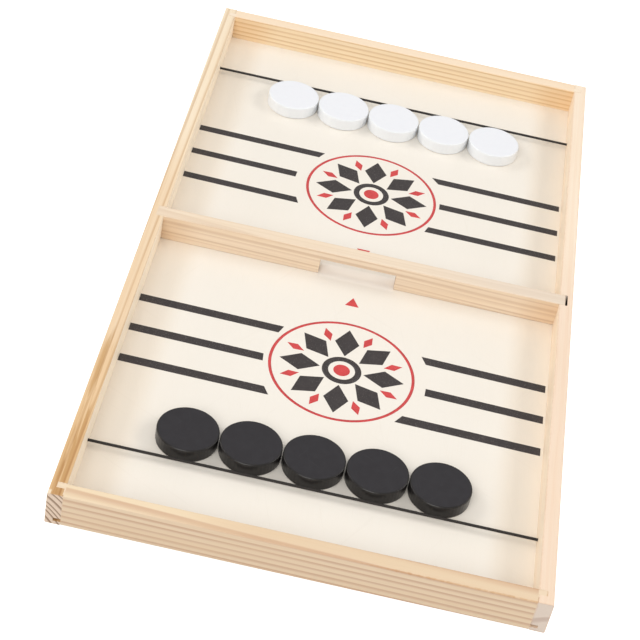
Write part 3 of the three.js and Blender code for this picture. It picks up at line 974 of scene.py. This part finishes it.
def moulded(name, node_name, body, rim_colour, bloom, face_roughness, rim_roughness, gloss, seed):
    low, high = box_mm(node_name)
    puck_radius = (high.x - low.x) / 2
    material, tree, position, normal = new_material(name, (low + high) / 2)
    place = split(tree, position)
    from_axis = distance(tree, place["X"], place["Y"])
    rim = ramp(tree, from_axis, puck_radius - RIM_FROM, puck_radius - RIM_TO)
    flat = flip(tree, rim)
    centre_mark = times(tree, ramp(tree, from_axis, 0.9, 1.3, 1, 0), ramp(tree, from_axis, 0.3, 0.7))
    handled = use_group(tree, scuffs, position, 1.0, seed)
    scratched = times(tree, handled["Scratches"], flat)
    colour = mix_colour(tree, times(tree, handled["Bloom"], 0.5), body, bloom)
    colour = mix_colour(tree, times(tree, scratched, 0.05), colour, [c * 0.5 + 0.18 for c in body])
    colour = mix_colour(tree, rim, colour, rim_colour)
    colour = mix_colour(tree, times(tree, centre_mark, 0.5), colour, bloom)
    cloudy = calc(tree, "ADD", times(tree, handled["Bloom"], flat, 0.08), face_roughness)
    roughness = calc(tree, "ADD", cloudy, times(tree, rim, rim_roughness - face_roughness))
    height = times(tree, noise(tree, position, 3.5, 2), flat, 0.25)
    for dent, depth in ((centre_mark, 0.8), (scratched, 0.1)):
        height = calc(tree, "SUBTRACT", height, times(tree, dent, depth))
    finish_shader(tree, colour, roughness, gloss, height, 0.25, 0.0001)
    dress(node_name, material)


for number in range(1, 6):
    for shade_name, *finish, seed_step in PUCK_FINISHES:
        moulded(f"{shade_name} plastic {number}", f"puck_{shade_name}_{number}", *finish, number * seed_step)
print("Pucks dressed:", [name for name in nodes if name.startswith("puck")])

# %% [markdown]
# ## Studio
# The photograph was taken on white with large soft lights. Here a big one stands high in front, a pair
# hangs beside the board, low enough for the rails to shade a strip of the floor beside them, and a lower
# pair lights the outer faces of the rails. A bright even sky fills the rest.

# %% Light the board
WARM_WHITE = (1, 0.985, 0.96)
LAMPS = (
    ("light_front", (-0.8, -3.0, 2.9), (2.5, 2.6), 85.0, (1, 0.99, 0.975)),
    ("light_left", (-1.6, 0.3, 1.3), (1.4, 0.6), 10.6, WARM_WHITE),
    ("light_right", (1.6, 0.3, 1.3), (1.4, 0.6), 11.9, WARM_WHITE),
    ("fill_left", (-2.0, 0.1, 0.43), (1.6, 0.4), 5.0, WARM_WHITE),
    ("fill_right", (2.0, 0.1, 0.43), (1.6, 0.4), 5.0, WARM_WHITE),
)
scene.view_settings.view_transform = "Standard"
world = bpy.data.worlds.new("studio")
world.use_nodes = True
scene.world = world
sky = world.node_tree.nodes["Background"]
sky.inputs["Color"].default_value = (1, 1, 1, 1)
sky.inputs["Strength"].default_value = 0.5
for name, place, size_xy, watts, colour in LAMPS:
    lamp = bpy.data.lights.new(name, "AREA")
    lamp.shape = "RECTANGLE"
    lamp.size, lamp.size_y = size_xy
    lamp.energy = watts
    lamp.color = colour
    holder = add_object(name, lamp)
    holder.location = place
    holder.rotation_euler = (-Vector(place)).to_track_quat("-Z", "Y").to_euler()

# %% [markdown]
# ## Stage
# The stage is a plain pale floor that glows a little, so that it stays white under the board's soft shade.

# %% Lay the stage
REACH, JUST_BELOW = 4.0, -0.0001
GLOW, GLOW_SEEN = 0.1, 0.6
stage_mesh = bpy.data.meshes.new("stage")
stage_corners = [(-REACH, -REACH, 0), (REACH, -REACH, 0), (REACH, REACH, 0), (-REACH, REACH, 0)]
stage_mesh.from_pydata(stage_corners, [], [(0, 1, 2, 3)])
stage = add_object("stage", stage_mesh)
stage.location.z = JUST_BELOW
paper, tree, position, normal = new_material("white paper")
shader = tree.nodes["Principled BSDF"]
shader.inputs["Base Color"].default_value = (0.6, 0.6, 0.6, 1)
shader.inputs["Emission Color"].default_value = (1, 1, 1, 1)
seen = put(tree, "ShaderNodeLightPath").outputs["Is Camera Ray"]
tree.links.new(calc(tree, "ADD", times(tree, seen, GLOW_SEEN), GLOW), shader.inputs["Emission Strength"])
shader.inputs["Roughness"].default_value = 0.95
shader.inputs["Specular IOR Level"].default_value = 0.0
stage_mesh.materials.append(paper)
print("Stage:", 2 * REACH, "m square")
